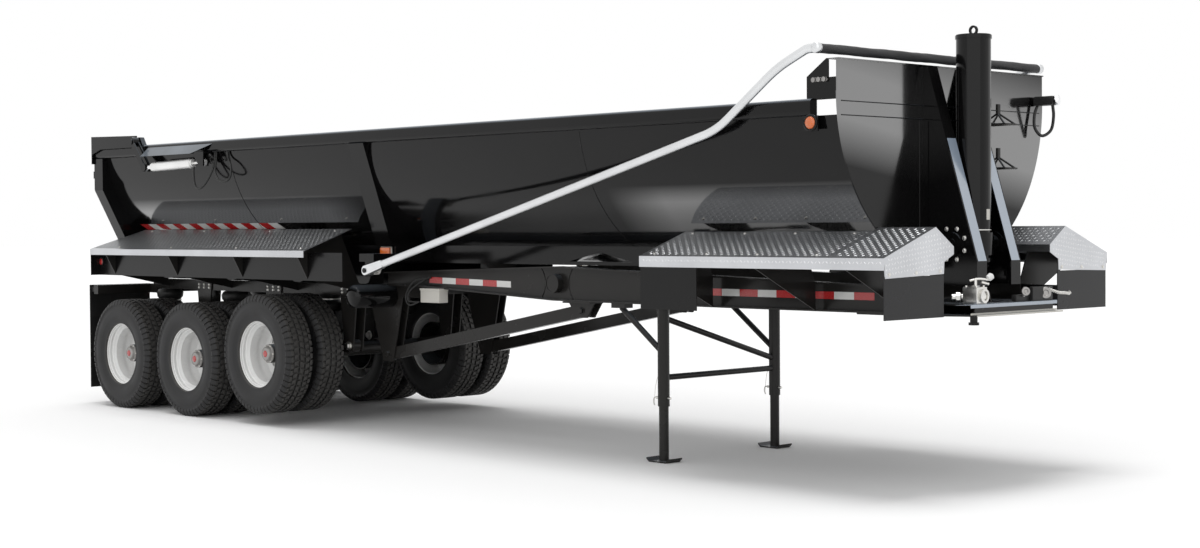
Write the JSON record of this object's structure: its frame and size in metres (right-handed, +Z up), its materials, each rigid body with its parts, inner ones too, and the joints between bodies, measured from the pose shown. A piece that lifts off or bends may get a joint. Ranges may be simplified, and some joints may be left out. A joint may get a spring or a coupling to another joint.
{
  "type": "half-round end-dump semi-trailer",
  "caption": "Black three-axle half-round end-dump semi-trailer with tread-plate decks, front telescopic hoist, high-lift tailgate and flip-tarp bow, parked on its legs.",
  "frame": {"origin": "on the ground under the middle of the trailer's box", "axes": "+X forward to the kingpin, +Y to the trailer's left, +Z up"},
  "size_m": [10.13, 2.59, 3.052],
  "materials": {
    "black_paint": "gloss",
    "white_paint": "gloss",
    "tread_plate": "satin",
    "tyre": "matte",
    "mud_flap": "matte",
    "bare_aluminium": "satin",
    "silver_paint": "satin",
    "amber_lens": "gloss",
    "chrome": "polished",
    "hose_rubber": "matte",
    "tarp": "matte"
  },
  "bodies": {
    "chassis": {"subframe": "black_paint", "axle_rear": "black_paint", "axle_middle": "black_paint", "axle_front": "black_paint", "frame_rail_left": "black_paint", "frame_rail_right": "black_paint", "frame_crossmembers": "black_paint", "coupler": "black_paint", "kingpin": "black_paint", "spring_hangers": "black_paint", "draft_arms": "black_paint", "leg_frames": "black_paint", "deck_outriggers": "black_paint", "front_deck_left": "tread_plate", "front_deck_right": "tread_plate", "rear_deck_left": "tread_plate", "rear_deck_right": "tread_plate", "deck_panels_left": "black_paint", "deck_panels_right": "black_paint", "mud_flaps": "mud_flap"},
    "tub": {"tub_shell_rear": "black_paint", "tub_shell_middle": "black_paint", "tub_shell_front": "black_paint", "bulkhead": "black_paint", "bulkhead_steps": "black_paint", "tail_frame": "black_paint", "tub_sills": "black_paint", "side_frame_left": "black_paint", "side_frame_right": "black_paint", "doghouse": "black_paint", "gate_hoses": "hose_rubber", "tub_lamps": "amber_lens"},
    "tailgate": {"tailgate": "black_paint"},
    "gate_cylinder_left": {"gate_cylinder_left": "silver_paint"},
    "gate_cylinder_right": {"gate_cylinder_right": "silver_paint"},
    "gate_rod_left": {"gate_rod_left": "chrome"},
    "gate_rod_right": {"gate_rod_right": "chrome"},
    "hoist_barrel": {"hoist_barrel": "black_paint"},
    "hoist_stage_1": {"hoist_stage_1": "black_paint"},
    "hoist_stage_2": {"hoist_stage_2": "chrome"},
    "hoist_stage_3": {"hoist_stage_3": "chrome"},
    "hoist_stage_4": {"hoist_stage_4": "chrome"},
    "hoist_stage_5": {"hoist_stage_5": "chrome"},
    "tarp_bow": {"tarp_arm_left": "bare_aluminium", "tarp_arm_right": "bare_aluminium", "tarp_roll": "tarp"},
    "leg_left": {"leg_left": "black_paint"},
    "leg_right": {"leg_right": "black_paint"},
    "wheel_rear_left": {"tyres_rear_left": "tyre", "wheels_rear_left": "white_paint"},
    "wheel_rear_right": {"tyres_rear_right": "tyre", "wheels_rear_right": "white_paint"},
    "wheel_middle_left": {"tyres_middle_left": "tyre", "wheels_middle_left": "white_paint"},
    "wheel_middle_right": {"tyres_middle_right": "tyre", "wheels_middle_right": "white_paint"},
    "wheel_front_left": {"tyres_front_left": "tyre", "wheels_front_left": "white_paint"},
    "wheel_front_right": {"tyres_front_right": "tyre", "wheels_front_right": "white_paint"}
  },
  "joints": [
    {"name": "tub_raise", "type": "hinge", "parent": "chassis", "child": "tub", "pos_m": [-4.755, 0, 1.207], "axis": [0, -1, 0], "range_deg": [0, 43.5]},
    {"name": "hoist_trunnion", "type": "hinge", "parent": "tub", "child": "hoist_barrel", "pos_m": [4.695, 0, 1.6], "axis": [0, 1, 0], "range_deg": [0, 20.7]},
    {"name": "hoist_extend_1", "type": "slide", "parent": "hoist_barrel", "child": "hoist_stage_1", "axis": [0, 0, -1], "range_m": [0, 1.322]},
    {"name": "hoist_extend_2", "type": "slide", "parent": "hoist_stage_1", "child": "hoist_stage_2", "axis": [0, 0, -1], "range_m": [0, 1.362]},
    {"name": "hoist_extend_3", "type": "slide", "parent": "hoist_stage_2", "child": "hoist_stage_3", "axis": [0, 0, -1], "range_m": [0, 1.402]},
    {"name": "hoist_extend_4", "type": "slide", "parent": "hoist_stage_3", "child": "hoist_stage_4", "axis": [0, 0, -1], "range_m": [0, 1.442]},
    {"name": "hoist_extend_5", "type": "slide", "parent": "hoist_stage_4", "child": "hoist_stage_5", "axis": [0, 0, -1], "range_m": [0, 1.462]},
    {"name": "gate_swing", "type": "hinge", "parent": "tub", "child": "tailgate", "pos_m": [-4.054, 0, 2.569], "axis": [0, 1, 0], "range_deg": [0, 70]},
    {"name": "gate_cylinder_swing_left", "type": "hinge", "parent": "tub", "child": "gate_cylinder_left", "pos_m": [-2.815, 1.24, 2.34], "axis": [0, -1, 0], "range_deg": [0, 1.3]},
    {"name": "gate_rod_extend_left", "type": "slide", "parent": "gate_cylinder_left", "child": "gate_rod_left", "axis": [-0.9998, 0, -0.0214], "range_m": [0, 0.3789]},
    {"name": "gate_cylinder_swing_right", "type": "hinge", "parent": "tub", "child": "gate_cylinder_right", "pos_m": [-2.815, -1.24, 2.34], "axis": [0, -1, 0], "range_deg": [0, 1.3]},
    {"name": "gate_rod_extend_right", "type": "slide", "parent": "gate_cylinder_right", "child": "gate_rod_right", "axis": [-0.9998, 0, -0.0214], "range_m": [0, 0.3789]},
    {"name": "tarp_bow_swing", "type": "hinge", "parent": "tub", "child": "tarp_bow", "pos_m": [-0.355, 0, 1.385], "axis": [0, 1, 0], "range_deg": [-136, 0]},
    {"name": "leg_raise_left", "type": "slide", "parent": "chassis", "child": "leg_left", "axis": [0, 0, 1], "range_m": [0, 0.34]},
    {"name": "leg_raise_right", "type": "slide", "parent": "chassis", "child": "leg_right", "axis": [0, 0, 1], "range_m": [0, 0.34]},
    {"name": "wheel_spin_rear_left", "type": "hinge", "parent": "chassis", "child": "wheel_rear_left", "pos_m": [-4.335, 0.971, 0.526], "axis": [0, 1, 0], "continuous": true},
    {"name": "wheel_spin_rear_right", "type": "hinge", "parent": "chassis", "child": "wheel_rear_right", "pos_m": [-4.335, -0.971, 0.526], "axis": [0, 1, 0], "continuous": true},
    {"name": "wheel_spin_middle_left", "type": "hinge", "parent": "chassis", "child": "wheel_middle_left", "pos_m": [-3.143, 0.971, 0.526], "axis": [0, 1, 0], "continuous": true},
    {"name": "wheel_spin_middle_right", "type": "hinge", "parent": "chassis", "child": "wheel_middle_right", "pos_m": [-3.143, -0.971, 0.526], "axis": [0, 1, 0], "continuous": true},
    {"name": "wheel_spin_front_left", "type": "hinge", "parent": "chassis", "child": "wheel_front_left", "pos_m": [-1.972, 0.971, 0.625], "axis": [0, 1, 0], "continuous": true},
    {"name": "wheel_spin_front_right", "type": "hinge", "parent": "chassis", "child": "wheel_front_right", "pos_m": [-1.972, -0.971, 0.625], "axis": [0, 1, 0], "continuous": true}
  ],
  "couplings": [
    {"joint": "hoist_trunnion", "follows": "tub_raise", "ratio": 0.47132},
    {"joint": "hoist_extend_1", "follows": "tub_raise", "m_per_rad": 1.7386},
    {"joint": "hoist_extend_2", "follows": "tub_raise", "m_per_rad": 1.7913},
    {"joint": "hoist_extend_3", "follows": "tub_raise", "m_per_rad": 1.844},
    {"joint": "hoist_extend_4", "follows": "tub_raise", "m_per_rad": 1.8967},
    {"joint": "hoist_extend_5", "follows": "tub_raise", "m_per_rad": 1.923},
    {"joint": "gate_cylinder_swing_left", "follows": "gate_swing", "ratio": 0.015712},
    {"joint": "gate_rod_extend_left", "follows": "gate_swing", "m_per_rad": 0.30852},
    {"joint": "gate_cylinder_swing_right", "follows": "gate_swing", "ratio": 0.015712},
    {"joint": "gate_rod_extend_right", "follows": "gate_swing", "m_per_rad": 0.30852}
  ]
}
